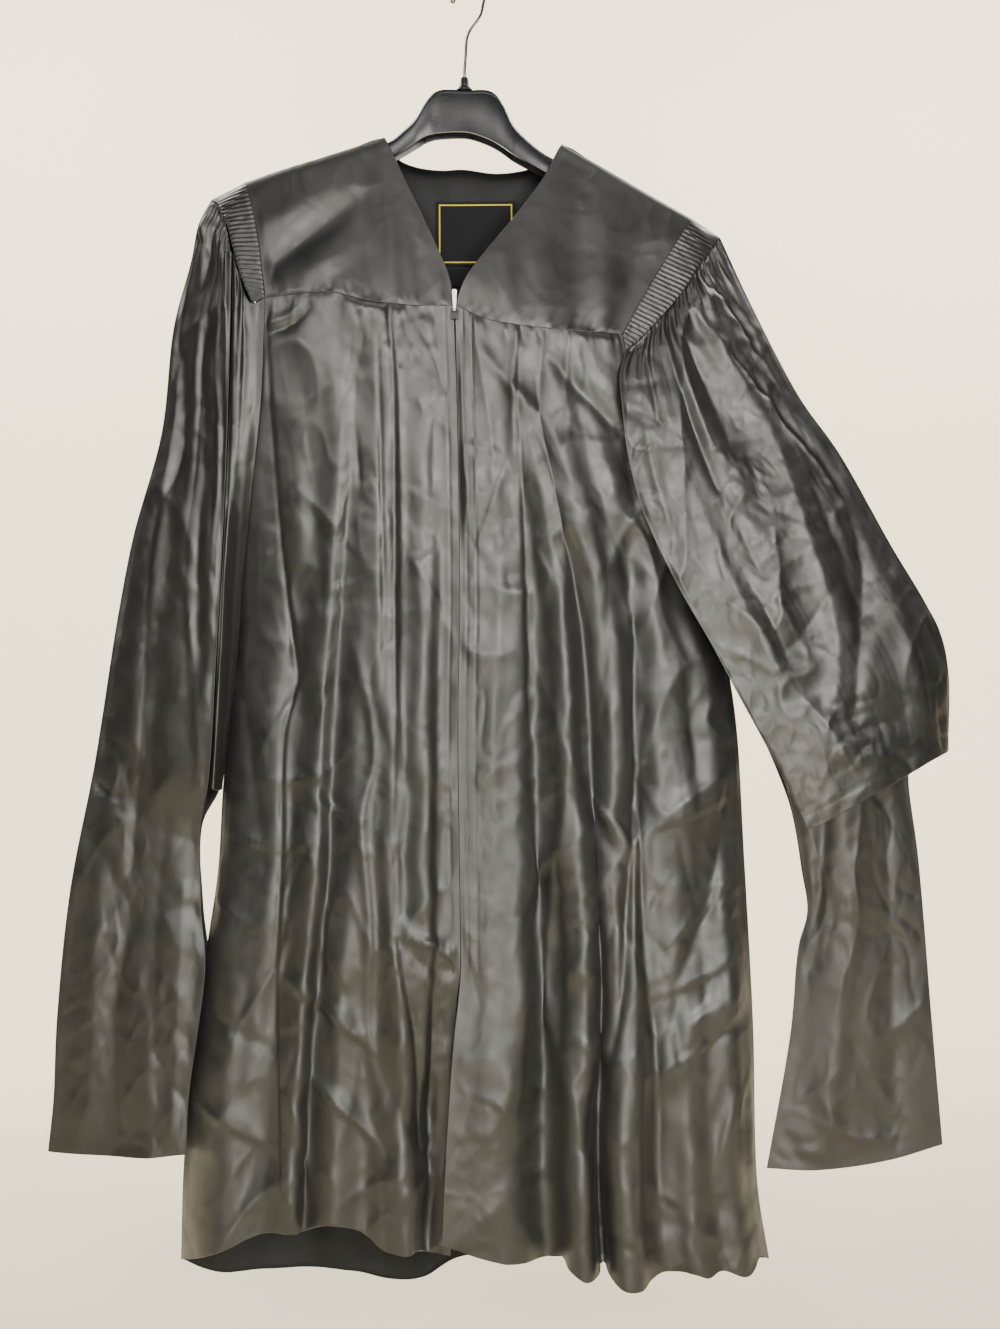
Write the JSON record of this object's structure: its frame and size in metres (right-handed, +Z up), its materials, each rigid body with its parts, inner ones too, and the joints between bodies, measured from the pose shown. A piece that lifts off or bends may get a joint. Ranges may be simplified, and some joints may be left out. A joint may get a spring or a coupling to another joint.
{
  "type": "graduation gown on clothes hanger",
  "caption": "Black satin graduation gown with fluted shoulders and long drop sleeves, hung flat on a plastic suit hanger with a wire hook.",
  "frame": {"origin": "inner top of the hanger's hook, where a rail or wall hook carries it", "axes": "+Z up, -Y the gown's front, +X the wearer's left"},
  "size_m": [1.0241, 0.1576, 1.5118],
  "materials": {
    "satin": "black polyester satin, soft broad sheen",
    "tape": "black woven zip tape",
    "label": "black woven label with a gold border line",
    "zip_metal": "bright plated die casting",
    "hanger_plastic": "moulded, half gloss",
    "wire": "polished"
  },
  "bodies": {
    "root": {"front_yoke_right": "satin", "front_yoke_left": "satin", "back_yoke": "satin", "front_panel_right": "satin", "front_panel_left": "satin", "back_panel": "satin", "fluting_right": "satin", "fluting_left": "satin", "sleeve_right_drop": "satin", "sleeve_right_front": "satin", "sleeve_right_back": "satin", "sleeve_left_front": "satin", "sleeve_left_drop": "satin", "sleeve_left_back": "satin", "zip_tape_right": "tape", "zip_tape_left": "tape", "zip_slider": "zip_metal", "neck_label": "label", "size_tag": "label", "hanger_body": "hanger_plastic", "hanger_collar": "hanger_plastic", "hanger_hook": "wire"},
    "pull": {"zip_pull": "zip_metal"}
  },
  "joints": [
    {"name": "pull_swing", "type": "hinge", "parent": "root", "child": "pull", "pos_m": [-0.0136, -0.0629, -0.4008], "axis": [1, 0, 0], "range_deg": [0, 165]}
  ]
}
